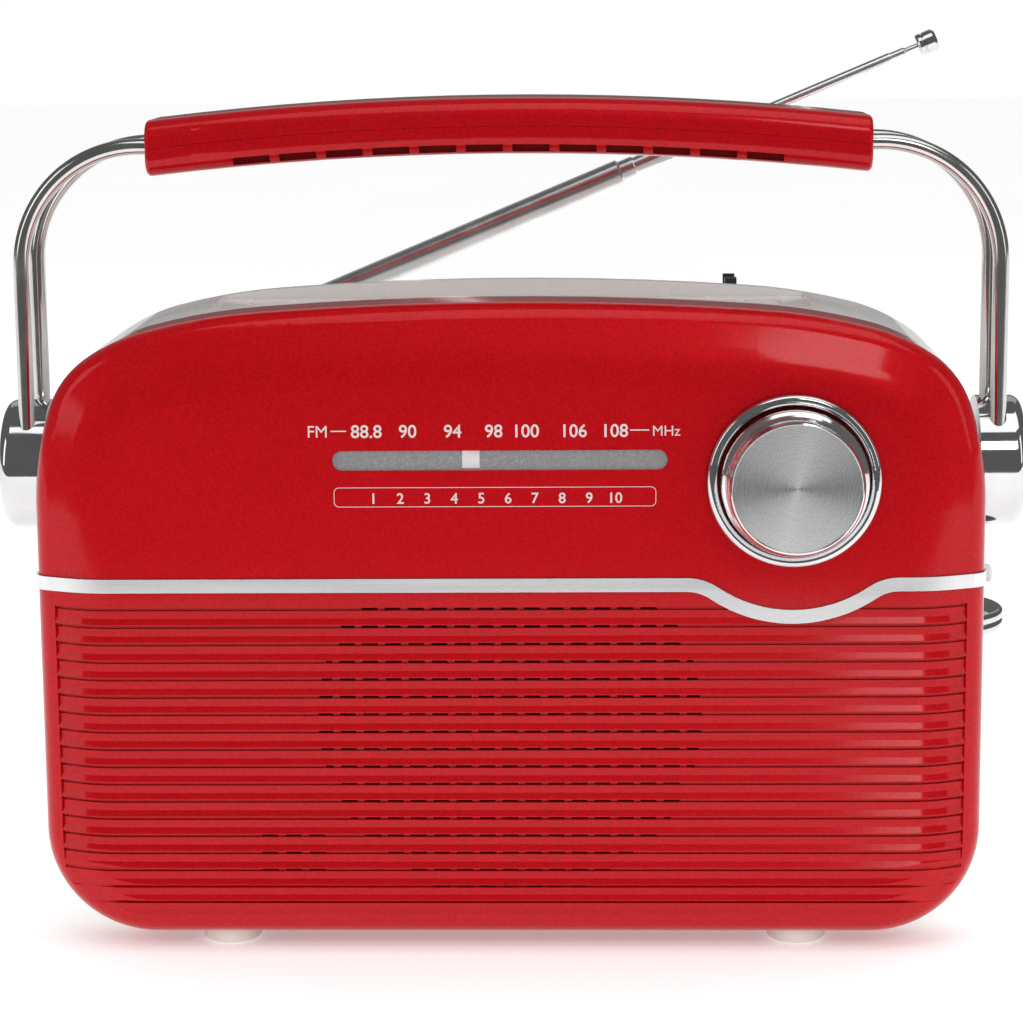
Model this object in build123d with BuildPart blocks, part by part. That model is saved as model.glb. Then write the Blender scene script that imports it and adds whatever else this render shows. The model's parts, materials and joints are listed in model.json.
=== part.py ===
"""Portable FM radio with a swinging handle and a telescopic antenna.

Millimetres. +X is the radio's right as seen from the front, +Y points to the back, +Z is up.
The origin lies on the ground plane, midway between the sides and midway through the cabinet.
"""

import os
from math import acos, atan2, cos, degrees, radians, sin, sqrt, tan

from build123d import *

os.makedirs("parts", exist_ok=True)

# ---- cabinet ----
BODY_W = 240.0
FRONT_Y = -40.0
BACK_Y = 40.0
PARTING_Y = -17.0          # where the red front shell meets the white rear shell
TOP_Z = 167.3
FOOT_H = 4.0
CORNER_R = 28.0
WALL = 2.4
SLOPE_W = 14.0             # sloping margin of the front face: its width and its depth
SLOPE_D = 6.0
SLOPE_ANGLE = degrees(atan2(SLOPE_D, SLOPE_W))
CREST_R = 26.0             # blend between the flat face and the slope
CREST_TANGENT = CREST_R * tan(radians(SLOPE_ANGLE / 2))
FRONT_EDGE_R = 6.0         # blend between the slope and the sides
BACK_ROUND = 8.0
# top edge from the middle outwards: (radius, turn in degrees) of arcs that run into each other
TOP_ARCS = ((880.0, 4.1), (158.0, 10.2), (49.0, 20.6), (24.6, 36.5))
LAST_TURN = 90.0 - sum(turn for _, turn in TOP_ARCS)
GAP = 0.3                  # air between pieces that move past each other
FIT = 0.05                 # air between pieces that are assembled together

# ---- grille ----
GROOVE_TOP_Z = 90.9
GROOVE_PITCH = 4.535
GROOVE_N = 18
GROOVE_H = 0.9
GROOVE_DEPTH = 1.4
GROOVE_TAIL = 4.6          # how far a groove runs on down the sloping margin
LEDGE_DEPTH = 0.7
SPEAKER_Z = 62.8
SLOT_FIELD_R = 48.5
SLOT_L = 4.0
SLOT_PITCH = 5.85
SLOT_H = 0.8
VENT_X = -55.5
VENT_Z = 27.6

# ---- trim strip ----
TRIM_Z = 97.05
TRIM_H = 3.5
TRIM_PROUD = 0.5
DIP = 8.2
DIP_R = 35.0
BLEND_R = 12.0

# ---- dial ----
DIAL_Z = 128.7
DIAL_X0 = -43.7
DIAL_X1 = 39.9
DIAL_H = 5.0
POINTER_X = -9.15
POINTER_W = 4.3
RAIL_Z = 139.0
RAIL_Y = -34.2
RAIL_R = 1.0

# ---- tuning ----
KNOB_X = 71.2
KNOB_Z = 123.4
BEZEL_R = 21.7
BEZEL_IN_R = 18.9
KNOB_R = 18.4
KNOB_FACE_R = 16.7
DISC_R = 15.8
KNOB_FRONT_Y = -54.0
SHAFT_R = 3.0
DRUM_R = 19.86

# ---- handle ----
PIVOT_Z = 122.0
HUB_R = 17.0
HUB_X0 = 120.6
HUB_X1 = 132.4
ROD_X = 125.3
ROD_Y = 11.0
ROD_R = 2.1
ROD_BEND = 31.0
ROD_TOP_Z = 205.4
POCKET_AIR = 0.35          # air round the wire's turn inside the grip
ROD_INNER_X = 86.0         # where the wire starts its turn inside the grip
GRIP_HALF = 92.3
GRIP_H = 14.3
GRIP_MID_Z = 210.05
GRIP_SAG = 5.0
GRIP_HALF_Y = 14.5
GRIP_ROUND = 5.0
GRIP_SLOT_N = 12
GRIP_SLOT_PITCH = 11.85
GRIP_SLOT_L = 9.4
BOLT_R = 4.0

# ---- top recess of the rear shell ----
RECESS_HALF = 78.0
RECESS_Z = 162.4
PANEL_H = 16.0
RECESS_Y0 = PARTING_Y + 2.6
RECESS_Y1 = 28.0
POCKET_N = 12
POCKET_PITCH = 11.95
POCKET_W = 9.7
POCKET_X = 0.7
POCKET_Y0 = -9.0
POCKET_Y1 = 19.0
POCKET_DEPTH = 3.0
SLAB_H = 5.6

# ---- antenna ----
ANT_Y = 44.2
ANT_X = -83.0
ANT_Z = 148.4
ANT_TILT = 22.5
S1_R = 3.55
S2_R = 2.4
S3_R = 1.45
S4_R = 0.88
S1_END = 125.6             # distances from the pivot along the antenna
S2_END = 164.6
S3_END = 204.5
CAP_START = 208.2
CAP_L = 4.6
CLIP_X = 58.8
CLIP_W = 3.2
STOW_TILT = 5.5            # tilt of the antenna when it lies in its clip

# ---- aerial inside the cabinet ----
FERRITE_Y = 12.0
FERRITE_Z = 148.0
FERRITE_R = 5.0
FERRITE_HALF = 52.0

# ---- power ----
CELL_R = 12.9
CELL_L = 49.0
CELL_N = 4
CELL_Y = 21.5
CELL_Z = 26.0
DOOR_HALF = 103.0
DOOR_Z0 = 14.3
DOOR_Z1 = 41.0
DOOR_T = 2.2

FEET_X = 73.7
FOOT_FRONT_Y = -22.6
FOOT_BACK_Y = 26.0
FOOT_R = 7.6
PEG_R = 2.0

SCREWS = ((-100.0, 58.0), (100.0, 58.0), (-62.0, 136.0), (62.0, 150.0))
SCREW_R = 1.5

# ---- side controls ----
WHEEL_X = 111.0
WHEEL_Y = 8.0
WHEEL_Z = 78.9
WHEEL_R = 19.2
WHEEL_H = 5.6
JACK_Y = 26.0
JACK_Z = 52.0
SWITCH_Y = 18.0
SWITCH_Z = 88.4
SWITCH_TRAVEL = 5.0


def save(block, name):
    """Names a finished piece and writes its STEP file."""
    block.part.label = name
    export_step(block.part, "parts/" + name + ".step")


def plane_y(y):
    """Sketch plane facing the front (normal -Y) at depth y; sketch x is X and sketch y is Z."""
    return Plane(origin=(0, y, 0), x_dir=(1, 0, 0), z_dir=(0, -1, 0))


def plane_back(x, y, z):
    """Plane whose normal points to the back (+Y), centred on a point; sketch y is Z."""
    return Plane(origin=(x, y, z), x_dir=(-1, 0, 0), z_dir=(0, 1, 0))


def plane_x(x, y=0.0, z=0.0):
    """Plane whose normal is +X, centred on a point; sketch x is Y and sketch y is Z."""
    return Plane(origin=(x, y, z), x_dir=(0, 1, 0), z_dir=(1, 0, 0))


def outline(inset=0.0):
    """The cabinet's front outline as an algebra sketch on XY, sketch y being height."""
    edges = []
    start = Vector(0, TOP_Z)
    tangent = Vector(1, 0)
    for radius, turn in TOP_ARCS:
        arc = JernArc(start, tangent, radius, -turn)
        edges.append(arc)
        start = arc @ 1
        tangent = arc % 1
    last_r = (BODY_W / 2 - start.X) / (1 - sin(radians(90.0 - LAST_TURN)))
    arc = JernArc(start, tangent, last_r, -LAST_TURN)
    edges.append(arc)
    side = Line(arc @ 1, (BODY_W / 2, FOOT_H + CORNER_R))
    corner = JernArc(side @ 1, (0, -1), CORNER_R, -90)
    bottom = Line(corner @ 1, (0, FOOT_H))
    edges += [side, corner, bottom, Line((0, FOOT_H), (0, TOP_Z))]
    half = make_face(edges)
    face = half + mirror(half, Plane.YZ)
    if inset:
        face = offset(face, -inset, kind=Kind.INTERSECTION)
    return face


def place_outline(inset, y):
    """The outline standing up at depth y, facing the front."""
    return plane_y(y) * outline(inset)


def rounded_slab(inset, y_edge, y_face, rounding):
    """Solid of the inset outline from y_edge to y_face, with the rim at y_face rounded."""
    depth = y_edge - y_face
    solid = extrude(place_outline(inset, y_edge), depth)
    rim = solid.faces().sort_by(Axis.Y)[0 if depth > 0 else -1].edges()
    return fillet(rim, rounding)


def faced_slab(inset, y_edge, y_face, edge_r):
    """Solid of the inset outline from y_edge forward to y_face, its margin sloping back softly."""
    slope_plane = plane_y(y_face + SLOPE_D)
    base = extrude(place_outline(inset, y_edge), y_edge - y_face - SLOPE_D)
    taper = degrees(atan2(SLOPE_W, SLOPE_D))
    cap = extrude(slope_plane * outline(inset), SLOPE_D, taper=taper)
    solid = base + cap
    crest = solid.faces().sort_by(Axis.Y)[0].edges()
    solid = fillet(crest, CREST_R)
    edge = [e for e in solid.edges() if abs(e.center().Y - slope_plane.origin.Y) < 0.01]
    return fillet(edge, edge_r)


def sink(z):
    """How far the front face has receded at height z above the bottom edge, at mid width."""
    rise = z - FOOT_H
    start = SLOPE_W + CREST_TANGENT
    if rise >= start:
        return 0.0
    bend = CREST_R * sin(radians(SLOPE_ANGLE))
    if rise >= start - bend:
        return CREST_R - sqrt(CREST_R ** 2 - (start - rise) ** 2)
    bend_depth = CREST_R * (1 - cos(radians(SLOPE_ANGLE)))
    return bend_depth + (start - bend - rise) * SLOPE_D / SLOPE_W


def groove_z(i):
    return GROOVE_TOP_Z - GROOVE_PITCH * i


def trim_line(dz):
    """Points of the trim's centre line, moved up by dz, as edges from left to right."""
    reach = BODY_W / 2 + 2
    r_dip = DIP_R - dz
    r_blend = BLEND_R + dz
    z = TRIM_Z + dz
    turn = degrees(acos(1 - DIP / (DIP_R + BLEND_R)))
    half = (DIP_R + BLEND_R) * sin(radians(turn))
    left = Line((-reach, z), (KNOB_X - half, z))
    a1 = JernArc((KNOB_X - half, z), (1, 0), r_blend, -turn)
    a2 = JernArc(a1 @ 1, a1 % 1, r_dip, 2 * turn)
    a3 = JernArc(a2 @ 1, a2 % 1, r_blend, -turn)
    right = Line(a3 @ 1, (reach, z))
    return [left, a1, a2, a3, right]


def trim_band(half_h):
    """Face between the trim's upper and lower lines, standing on XY."""
    reach = BODY_W / 2 + 2
    upper = trim_line(half_h)
    lower = trim_line(-half_h)
    ends = [Line((-reach, TRIM_Z - half_h), (-reach, TRIM_Z + half_h)),
            Line((reach, TRIM_Z - half_h), (reach, TRIM_Z + half_h))]
    return make_face(upper + lower + ends)


def below_trim():
    """Face covering everything under the trim's centre line."""
    reach = BODY_W / 2 + 2
    line = trim_line(0)
    sides = [Line((-reach, TRIM_Z), (-reach, -5)), Line((-reach, -5), (reach, -5)),
             Line((reach, -5), (reach, TRIM_Z))]
    return make_face(line + sides)


def groove_cutter():
    """Louvre profiles of all grooves, swept along the bend of the front face from side to side."""
    flat = BODY_W / 2 - SLOPE_W - CREST_TANGENT
    level = Line((-flat, FRONT_Y), (flat, FRONT_Y))
    bends = []
    for side in (-1, 1):
        turn = JernArc((side * flat, FRONT_Y), (side, 0), CREST_R, side * SLOPE_ANGLE)
        slope = Line(turn @ 1, (turn @ 1) + (turn % 1) * GROOVE_TAIL)
        bends.append((turn, slope))
    (left_turn, left_slope), (right_turn, right_slope) = bends
    path = Wire([left_slope, left_turn, level, right_turn, right_slope])
    start = path @ 0.5
    teeth = []
    for i in range(GROOVE_N):
        z = groove_z(i)
        corners = [(-1.0, z + GROOVE_H / 2), (GROOVE_DEPTH, z + GROOVE_H / 2),
                   (GROOVE_DEPTH, z - GROOVE_H / 2), (LEDGE_DEPTH, z - GROOVE_H / 2),
                   (LEDGE_DEPTH, z - 2.4), (0.0, z - GROOVE_PITCH + GROOVE_H / 2 + 0.25),
                   (-1.0, z - GROOVE_PITCH + GROOVE_H / 2 + 0.25)]
        points = [(FRONT_Y + depth + sink(height), height) for depth, height in corners]
        tooth = plane_x(start.X) * make_face(Polyline(*points, close=True))
        teeth.append(extrude(tooth, flat, both=True))
        for turn, slope in bends:
            foot = plane_x((turn @ 0).X) * make_face(Polyline(*points, close=True))
            teeth.append(sweep(foot, path=Wire([turn, slope])))
    return Part() + teeth


def slot_field():
    """All the speaker slots and vent slots, as one face on XY."""
    slots = []
    columns = int(SLOT_FIELD_R / SLOT_PITCH) + 1
    for i in range(GROOVE_N - 1):
        z = groove_z(i)
        rise = z - SPEAKER_Z
        chord = sqrt(max(SLOT_FIELD_R ** 2 - rise ** 2, 0.0))
        for k in range(-columns, columns + 1):
            left = max(k * SLOT_PITCH - SLOT_L / 2, -chord)
            right = min(k * SLOT_PITCH + SLOT_L / 2, chord)
            if right - left > 1.2:
                slots.append(Pos((left + right) / 2, z) * Rectangle(right - left, SLOT_H))
    for i in (13, 14, 15):
        for k in (-1, 0, 1):
            slots.append(Pos(VENT_X + 6.05 * k, groove_z(i)) * Rectangle(SLOT_L, SLOT_H))
    return Sketch() + slots


# ======================= cabinet =======================
front_outer = faced_slab(0, PARTING_Y, FRONT_Y, FRONT_EDGE_R)
front_inner = faced_slab(WALL, PARTING_Y + 1, FRONT_Y + 3.0, FRONT_EDGE_R - 2.0)
trim_outer = faced_slab(-TRIM_PROUD, PARTING_Y - 0.5, FRONT_Y - TRIM_PROUD, FRONT_EDGE_R + 0.4)
trim_inner = faced_slab(0.6, PARTING_Y + 1, FRONT_Y + 0.6, FRONT_EDGE_R - 0.4)
grille_cut = groove_cutter() & extrude(plane_y(FRONT_Y + 5) * below_trim(), 8)
slots_cut = extrude(plane_y(FRONT_Y + 8) * slot_field(), 8)
trim_groove = extrude(plane_y(PARTING_Y + 2) * trim_band(TRIM_H / 2 + FIT), 40)

with BuildPart() as front_shell:
    add(front_outer)
    add(front_inner, mode=Mode.SUBTRACT)
    add(grille_cut, mode=Mode.SUBTRACT)
    add(slots_cut, mode=Mode.SUBTRACT)
    # channel for the trim strip, as deep as the strip is let in
    add(trim_groove & (front_outer - trim_inner), mode=Mode.SUBTRACT)
    # window of the dial, with a wider step that the clear cover sits in
    with BuildSketch(plane_y(FRONT_Y - 1)):
        with Locations(((DIAL_X0 + DIAL_X1) / 2, DIAL_Z)):
            SlotOverall(DIAL_X1 - DIAL_X0, DIAL_H)
    extrude(amount=-6, mode=Mode.SUBTRACT)
    with BuildSketch(plane_y(FRONT_Y - 1)):
        with Locations((KNOB_X, KNOB_Z)):
            Circle(SHAFT_R + 1.5)
    extrude(amount=-6, mode=Mode.SUBTRACT)
    # shallow seat around the knob's bezel
    with BuildSketch(plane_y(FRONT_Y - 1)):
        with Locations((KNOB_X, KNOB_Z)):
            Circle(BEZEL_R + FIT)
    extrude(amount=-2.0, mode=Mode.SUBTRACT)
    # posts that hold the pointer's rail
    for x in (DIAL_X0 - 4, DIAL_X1 + 4):
        with BuildSketch(plane_x(x - 1.5)):
            with Locations((RAIL_Y - 0.2, RAIL_Z)):
                Rectangle(5.8, 5.0)
            with Locations((RAIL_Y, RAIL_Z)):
                Circle(RAIL_R + FIT, mode=Mode.SUBTRACT)
        extrude(amount=3.0)
    # screw bosses for the loudspeaker
    for sx in (-1, 1):
        for sz in (-1, 1):
            with BuildSketch(plane_y(FRONT_Y + 2.5)):
                with Locations((39.5 * sx, SPEAKER_Z + 39.5 * sz)):
                    Circle(3.2)
            extrude(amount=-3.5)
    # posts that the case screws bite into
    for x, z in SCREWS:
        with BuildSketch(plane_y(FRONT_Y + 2.5)):
            with Locations((x, z)):
                Circle(3.5)
        extrude(amount=-(PARTING_Y - FRONT_Y - 2.5 - 0.2))
        with BuildSketch(plane_y(PARTING_Y)):
            with Locations((x, z)):
                Circle(SCREW_R + FIT)
        extrude(amount=14, mode=Mode.SUBTRACT)
    with BuildSketch(Plane.XY.offset(FOOT_H - 1)):
        with Locations((-FEET_X, FOOT_FRONT_Y), (FEET_X, FOOT_FRONT_Y)):
            Circle(PEG_R + FIT)
    extrude(amount=4, mode=Mode.SUBTRACT)
save(front_shell, "front_shell")

trim_body = extrude(plane_y(PARTING_Y + 1) * trim_band(TRIM_H / 2), 40)
trim_body = trim_body & (trim_outer - trim_inner)

with BuildPart() as trim_strip:
    add(trim_body)
    with BuildSketch(plane_y(PARTING_Y - 0.3)):
        with Locations((0, TRIM_Z)):
            Rectangle(2 * BODY_W, 4 * TRIM_H)
    extrude(amount=-10, mode=Mode.SUBTRACT)
save(trim_strip, "trim_strip")

rear_outer = rounded_slab(0, PARTING_Y + 0.2, BACK_Y, BACK_ROUND)
rear_inner = rounded_slab(WALL, PARTING_Y - 1, BACK_Y - WALL, BACK_ROUND - 2.0)

panel_y0 = PARTING_Y + 0.2
panel_y1 = RECESS_Y1 + 2.4
panel_sketch = Pos(0, (panel_y0 + panel_y1) / 2) * Rectangle(2 * RECESS_HALF + 4, panel_y1 - panel_y0)
panel_block = extrude(Plane.XY.offset(RECESS_Z - SLAB_H) * panel_sketch, PANEL_H) & rear_outer

with BuildPart() as rear_shell:
    add(rear_outer)
    add(rear_inner, mode=Mode.SUBTRACT)
    # sunk top panel: floor and walls up to the roof, then the sink itself
    add(panel_block)
    with BuildSketch(Plane.XY.offset(RECESS_Z)):
        with Locations((0, (RECESS_Y0 + RECESS_Y1) / 2)):
            Rectangle(2 * RECESS_HALF, RECESS_Y1 - RECESS_Y0)
    extrude(amount=10, mode=Mode.SUBTRACT)
    with BuildSketch(Plane.XY.offset(RECESS_Z - POCKET_DEPTH)):
        with Locations((POCKET_X, (POCKET_Y0 + POCKET_Y1) / 2)):
            with GridLocations(POCKET_PITCH, 1, POCKET_N, 1):
                RectangleRounded(POCKET_W, POCKET_Y1 - POCKET_Y0, 1.0)
    extrude(amount=10, mode=Mode.SUBTRACT)
    # bores of the hubs' bolts
    with BuildSketch(plane_x(-BODY_W / 2 - 1, 0, PIVOT_Z)):
        Circle(BOLT_R + FIT)
    extrude(amount=BODY_W + 2, mode=Mode.SUBTRACT)
    # slot in the right side for the volume wheel, hole for the headphone socket
    with BuildSketch(plane_x(BODY_W / 2 - 6, WHEEL_Y, WHEEL_Z)):
        Rectangle(2 * WHEEL_R, WHEEL_H + 1.2)
    extrude(amount=8, mode=Mode.SUBTRACT)
    with BuildSketch(plane_x(BODY_W / 2 - 6, JACK_Y, JACK_Z)):
        Circle(3.0 + FIT)
    extrude(amount=8, mode=Mode.SUBTRACT)
    with BuildSketch(plane_x(BODY_W / 2 - 6, SWITCH_Y + SWITCH_TRAVEL / 2, SWITCH_Z)):
        Rectangle(SWITCH_TRAVEL + 3.0 + 2 * GAP, 2.0 + 2 * GAP)
    extrude(amount=8, mode=Mode.SUBTRACT)
    # opening of the battery bay in the back
    with BuildSketch(plane_back(0, BACK_Y - 6, 0)):
        with Locations((0, (DOOR_Z0 + DOOR_Z1) / 2)):
            Rectangle(2 * DOOR_HALF + 2 * GAP, DOOR_Z1 - DOOR_Z0 + 2 * GAP)
    extrude(amount=10, mode=Mode.SUBTRACT)
    # roof, floor and end walls of the battery bay
    with BuildSketch(plane_back(0, 4.0, 0)):
        with Locations((0, 43.6)):
            Rectangle(2 * DOOR_HALF + 4.4, 1.8)
        with Locations((0, 11.6)):
            Rectangle(2 * DOOR_HALF + 4.4, 1.8)
        for x in (-DOOR_HALF - 1.3, DOOR_HALF + 1.3):
            with Locations((x, 27.6)):
                Rectangle(1.8, 33.0)
    extrude(amount=BACK_Y - WALL + 0.4 - 4.0)
    with BuildSketch(plane_back(0, 4.0, 0)):
        with Locations((0, 27.6)):
            Rectangle(2 * DOOR_HALF + 4.4, 33.8)
    extrude(amount=1.8)
    # seat and screw boss of the antenna's pivot
    with BuildSketch(plane_back(ANT_X, BACK_Y - WALL - 5.0, ANT_Z)):
        Circle(4.6)
    extrude(amount=5.2)
    with BuildSketch(plane_back(ANT_X, BACK_Y - 0.2, ANT_Z)):
        Circle(7.0)
    extrude(amount=0.6)
    with BuildSketch(plane_back(ANT_X, BACK_Y - WALL - 5.5, ANT_Z)):
        Circle(1.6 + FIT)
    extrude(amount=10, mode=Mode.SUBTRACT)
    # vents in the back
    with BuildSketch(plane_back(0, BACK_Y - 6, 0)):
        with Locations((0, 82.0)):
            with GridLocations(9.0, 6.0, 9, 6):
                SlotOverall(6.0, 2.0)
    extrude(amount=10, mode=Mode.SUBTRACT)
    # sockets for the feet
    with BuildSketch(Plane.XY.offset(FOOT_H - 1)):
        with Locations((-FEET_X, FOOT_BACK_Y), (FEET_X, FOOT_BACK_Y)):
            Circle(PEG_R + FIT)
    extrude(amount=4, mode=Mode.SUBTRACT)
    # tubes that guide the case screws
    with BuildSketch(plane_y(BACK_Y - WALL + 0.2)):
        with Locations(SCREWS):
            Circle(3.5)
    extrude(amount=BACK_Y - WALL - PARTING_Y - 0.2)
    with BuildSketch(plane_y(BACK_Y + 1)):
        with Locations(SCREWS):
            Circle(SCREW_R + FIT)
    extrude(amount=BACK_Y - PARTING_Y + 2, mode=Mode.SUBTRACT)
    with BuildSketch(plane_y(BACK_Y + 1)):
        with Locations(SCREWS):
            Circle(3.2 + 2 * FIT)
    extrude(amount=1 + 1.7, mode=Mode.SUBTRACT)
    # two tabs under the sunk panel that carry the ferrite rod
    for x in (-44.0, 44.0):
        with BuildSketch(plane_x(x - 1.5)):
            with Locations((FERRITE_Y, (FERRITE_Z - 7 + RECESS_Z - SLAB_H + 0.2) / 2)):
                Rectangle(14, RECESS_Z - SLAB_H + 0.2 - FERRITE_Z + 7)
            with Locations((FERRITE_Y, FERRITE_Z)):
                Circle(FERRITE_R + FIT, mode=Mode.SUBTRACT)
        extrude(amount=3)
save(rear_shell, "rear_shell")

# ======================= dial and tuning =======================
with BuildPart() as dial_lens:
    with BuildSketch(plane_y(FRONT_Y + 1.3)):
        with Locations(((DIAL_X0 + DIAL_X1) / 2, DIAL_Z)):
            SlotOverall(DIAL_X1 - DIAL_X0 - 2 * FIT, DIAL_H - 2 * FIT)
    extrude(amount=1.0)
save(dial_lens, "dial_lens")

with BuildPart() as dial_backplate:
    with BuildSketch(plane_y(FRONT_Y + 5.2)):
        with Locations((-2.0, DIAL_Z)):
            Rectangle(96, 12)
    extrude(amount=0.8)
    with BuildSketch(plane_y(FRONT_Y + 5.0)):
        with Locations((-48.2, DIAL_Z), (44.2, DIAL_Z)):
            Rectangle(3.0, 12)
    extrude(amount=1.9)
save(dial_backplate, "dial_backplate")

with BuildPart() as pointer_rail:
    with BuildSketch(plane_x(DIAL_X0 - 6, RAIL_Y, RAIL_Z)):
        Circle(RAIL_R)
    extrude(amount=DIAL_X1 - DIAL_X0 + 12)
save(pointer_rail, "pointer_rail")

with BuildPart() as dial_pointer:
    with BuildSketch(plane_y(FRONT_Y + 3.9)):
        with Locations((POINTER_X, DIAL_Z)):
            Rectangle(POINTER_W, DIAL_H - 0.6)
    extrude(amount=1.9)
    with BuildSketch(plane_y(FRONT_Y + 3.9)):
        with Locations((POINTER_X, (DIAL_Z + RAIL_Z) / 2)):
            Rectangle(3.0, RAIL_Z - DIAL_Z)
    extrude(amount=0.6)
    with BuildSketch(plane_x(POINTER_X - 4)):
        with Locations((RAIL_Y - 0.5, RAIL_Z)):
            Rectangle(4.2, 4.4)
        with Locations((RAIL_Y, RAIL_Z)):
            Circle(RAIL_R + FIT, mode=Mode.SUBTRACT)
    extrude(amount=8)
save(dial_pointer, "dial_pointer")

with BuildPart() as knob_bezel:
    with BuildSketch(Plane.XY.offset(KNOB_Z)) as ring:
        with BuildLine():
            Polyline((KNOB_X + BEZEL_IN_R, FRONT_Y + 1.0), (KNOB_X + BEZEL_R, FRONT_Y + 1.0),
                     (KNOB_X + BEZEL_R, FRONT_Y - 3.2), (KNOB_X + BEZEL_IN_R, FRONT_Y - 3.2),
                     close=True)
        make_face()
        fillet(ring.vertices().sort_by(Axis.Y)[:2], 1.3)
    revolve(axis=Axis((KNOB_X, 0, KNOB_Z), (0, 1, 0)))
save(knob_bezel, "knob_bezel")

with BuildPart() as shaft_bushing:
    with BuildSketch(plane_y(FRONT_Y + 6)):
        with Locations((KNOB_X, KNOB_Z)):
            Circle(SHAFT_R + 1.45)
    extrude(amount=7.5)
    with BuildSketch(plane_y(FRONT_Y + 5.2)):
        with Locations((KNOB_X, KNOB_Z)):
            RegularPolygon(6.5, 6)
    extrude(amount=2.1)
    with BuildSketch(plane_y(FRONT_Y + 7)):
        with Locations((KNOB_X, KNOB_Z)):
            Circle(SHAFT_R + FIT)
    extrude(amount=12, mode=Mode.SUBTRACT)
save(shaft_bushing, "shaft_bushing")

with BuildPart() as tuning_knob:
    with BuildSketch(Plane.XY.offset(KNOB_Z)):
        with BuildLine():
            Polyline((KNOB_X, KNOB_FRONT_Y + 1.3), (KNOB_X + DISC_R, KNOB_FRONT_Y + 1.3),
                     (KNOB_X + DISC_R, KNOB_FRONT_Y + 0.3), (KNOB_X + DISC_R + 0.2, KNOB_FRONT_Y),
                     (KNOB_X + DISC_R + 0.5, KNOB_FRONT_Y + 0.1), (KNOB_X + KNOB_FACE_R, KNOB_FRONT_Y + 0.9),
                     (KNOB_X + KNOB_FACE_R + 0.3, KNOB_FRONT_Y + 6.2),
                     (KNOB_X + 17.4, KNOB_FRONT_Y + 6.7), (KNOB_X + 18.1, KNOB_FRONT_Y + 7.4),
                     (KNOB_X + KNOB_R, KNOB_FRONT_Y + 8.4), (KNOB_X + KNOB_R, FRONT_Y - 0.6),
                     (KNOB_X + 15.0, FRONT_Y - 0.6), (KNOB_X + 14.4, KNOB_FRONT_Y + 3.6),
                     (KNOB_X + 6.4, KNOB_FRONT_Y + 3.6), (KNOB_X + 6.0, FRONT_Y - 2.6),
                     (KNOB_X, FRONT_Y - 2.6), close=True)
        make_face()
    revolve(axis=Axis((KNOB_X, 0, KNOB_Z), (0, 1, 0)))
    with BuildSketch(plane_y(FRONT_Y)):
        with Locations((KNOB_X, KNOB_Z)):
            Circle(SHAFT_R + FIT)
    extrude(amount=11.5, mode=Mode.SUBTRACT)
save(tuning_knob, "tuning_knob")

with BuildPart() as knob_face:
    with BuildSketch(plane_y(KNOB_FRONT_Y + 1.25)):
        with Locations((KNOB_X, KNOB_Z)):
            Circle(DISC_R - FIT)
    extrude(amount=0.8)
save(knob_face, "knob_face")

with BuildPart() as tuning_shaft:
    with BuildSketch(plane_y(FRONT_Y + 15.5)):
        with Locations((KNOB_X, KNOB_Z)):
            Circle(SHAFT_R)
    extrude(amount=26.9)
save(tuning_shaft, "tuning_shaft")

with BuildPart() as drive_drum:
    with BuildSketch(Plane.XY.offset(KNOB_Z)):
        with BuildLine():
            Polyline((KNOB_X + SHAFT_R + FIT, FRONT_Y + 7.0), (KNOB_X + DRUM_R + 1, FRONT_Y + 7.0),
                     (KNOB_X + DRUM_R, FRONT_Y + 8.2), (KNOB_X + DRUM_R, FRONT_Y + 9.0),
                     (KNOB_X + DRUM_R + 1, FRONT_Y + 10.2), (KNOB_X + DRUM_R - 3, FRONT_Y + 10.2),
                     (KNOB_X + DRUM_R - 3, FRONT_Y + 9.0), (KNOB_X + 6, FRONT_Y + 9.0),
                     (KNOB_X + 6, FRONT_Y + 11.4), (KNOB_X + SHAFT_R + FIT, FRONT_Y + 11.4),
                     close=True)
        make_face()
    revolve(axis=Axis((KNOB_X, 0, KNOB_Z), (0, 1, 0)))
    with BuildSketch(plane_y(FRONT_Y + 12)):
        with Locations((KNOB_X, KNOB_Z)):
            with PolarLocations(11.5, 5):
                Circle(3.0)
    extrude(amount=8, mode=Mode.SUBTRACT)
save(drive_drum, "drive_drum")

with BuildPart() as tuning_capacitor:
    with BuildSketch(plane_y(-14.8)):
        with Locations((KNOB_X, KNOB_Z)):
            RectangleRounded(24, 24, 2)
    extrude(amount=12.5)
    with BuildSketch(plane_y(FRONT_Y + 16)):
        with Locations((KNOB_X, KNOB_Z)):
            Circle(SHAFT_R + FIT)
    extrude(amount=5, mode=Mode.SUBTRACT)
save(tuning_capacitor, "tuning_capacitor")

# ======================= loudspeaker =======================
speaker_axis = Axis((0, 0, SPEAKER_Z), (0, 1, 0))

cloth_room = faced_slab(WALL + 0.1, PARTING_Y, FRONT_Y + 3.1, FRONT_EDGE_R - 2.0)

with BuildPart() as grille_cloth:
    with BuildSketch(plane_y(FRONT_Y + 4.4)):
        with Locations((0, SPEAKER_Z)):
            Circle(50.0)
        with Locations((VENT_X, VENT_Z)):
            Circle(10.0)
    extrude(amount=0.35)
    add(cloth_room, mode=Mode.INTERSECT)
save(grille_cloth, "grille_cloth")

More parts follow.
